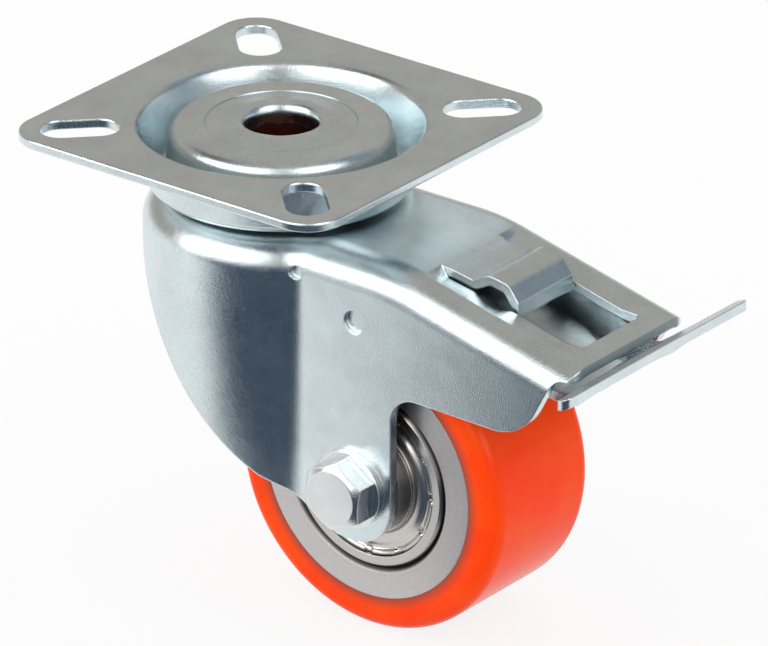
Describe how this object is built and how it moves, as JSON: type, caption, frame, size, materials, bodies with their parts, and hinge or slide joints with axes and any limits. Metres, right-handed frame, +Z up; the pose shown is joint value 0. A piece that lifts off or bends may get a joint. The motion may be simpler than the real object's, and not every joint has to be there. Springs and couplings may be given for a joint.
{
  "type": "swivel castor",
  "caption": "Swivel castor with a slotted top plate, a pressed fork, an orange polyurethane wheel on ball bearings, and a pedal brake that locks both wheel and swivel.",
  "frame": {"origin": "centre of the plate's mounting face, on the swivel axis", "axes": "+Z up through the mounting face, +X the way the fork trails and the pedal points, the axle along Y with its bolt head on the -Y side"},
  "size_m": [0.1634, 0.097, 0.1186],
  "materials": {
    "zinc_plated_steel": "satin zinc plating with a faint bluish cast",
    "turned_steel": "turned, lightly oiled",
    "bearing_steel": "ground and polished",
    "cage_steel": "pressed sheet, bare",
    "hub_steel": "ground face with fine scratches",
    "polyurethane": "glossy orange, moulded",
    "nylon": "matt",
    "spring_steel": "blued"
  },
  "bodies": {
    "plate": {"top_plate": "zinc_plated_steel", "kingpin": "zinc_plated_steel", "lower_race": "zinc_plated_steel", "lock_ring": "zinc_plated_steel"},
    "upper_row": {"upper_balls": "bearing_steel"},
    "lower_row": {"lower_balls": "bearing_steel"},
    "fork": {"fork": "zinc_plated_steel", "axle_bolt": "zinc_plated_steel", "washer_left": "zinc_plated_steel", "washer_right": "zinc_plated_steel", "lock_nut": "zinc_plated_steel", "nut_insert": "nylon", "axle_tube": "turned_steel", "ring_spacer": "turned_steel", "bush_left": "turned_steel", "bush_right": "turned_steel", "inner_ring_left": "bearing_steel", "inner_ring_right": "bearing_steel"},
    "wheel": {"tyre": "polyurethane", "hub": "hub_steel", "outer_ring_left": "bearing_steel", "outer_ring_right": "bearing_steel", "shields_left": "bearing_steel", "shields_right": "bearing_steel"},
    "bearing_row_left": {"bearing_balls_left": "bearing_steel", "ball_cage_left": "cage_steel"},
    "bearing_row_right": {"bearing_balls_right": "bearing_steel", "ball_cage_right": "cage_steel"},
    "brake": {"brake_lever": "zinc_plated_steel", "brake_shoe": "spring_steel", "shoe_rivets": "zinc_plated_steel"}
  },
  "joints": [
    {"name": "swivel", "type": "hinge", "parent": "plate", "child": "fork", "pos_m": [0, 0, 0], "axis": [0, 0, 1], "continuous": true},
    {"name": "upper_row_roll", "type": "hinge", "parent": "plate", "child": "upper_row", "pos_m": [0, 0, 0], "axis": [0, 0, 1], "continuous": true},
    {"name": "lower_row_roll", "type": "hinge", "parent": "plate", "child": "lower_row", "pos_m": [0, 0, 0], "axis": [0, 0, 1], "continuous": true},
    {"name": "wheel_spin", "type": "hinge", "parent": "fork", "child": "wheel", "pos_m": [0.041, 0, -0.0786], "axis": [0, 1, 0], "continuous": true},
    {"name": "bearing_row_left_roll", "type": "hinge", "parent": "fork", "child": "bearing_row_left", "pos_m": [0.041, 0, -0.0786], "axis": [0, 1, 0], "continuous": true},
    {"name": "bearing_row_right_roll", "type": "hinge", "parent": "fork", "child": "bearing_row_right", "pos_m": [0.041, 0, -0.0786], "axis": [0, 1, 0], "continuous": true},
    {"name": "brake_pedal", "type": "hinge", "parent": "fork", "child": "brake", "pos_m": [0.042, 0, -0.0343], "axis": [0, 1, 0], "range_deg": [0, 7.5]}
  ],
  "couplings": [
    {"joint": "upper_row_roll", "follows": "swivel", "ratio": 0.5},
    {"joint": "lower_row_roll", "follows": "swivel", "ratio": 0.5},
    {"joint": "bearing_row_left_roll", "follows": "wheel_spin", "ratio": 0.6161},
    {"joint": "bearing_row_right_roll", "follows": "wheel_spin", "ratio": 0.6161}
  ]
}
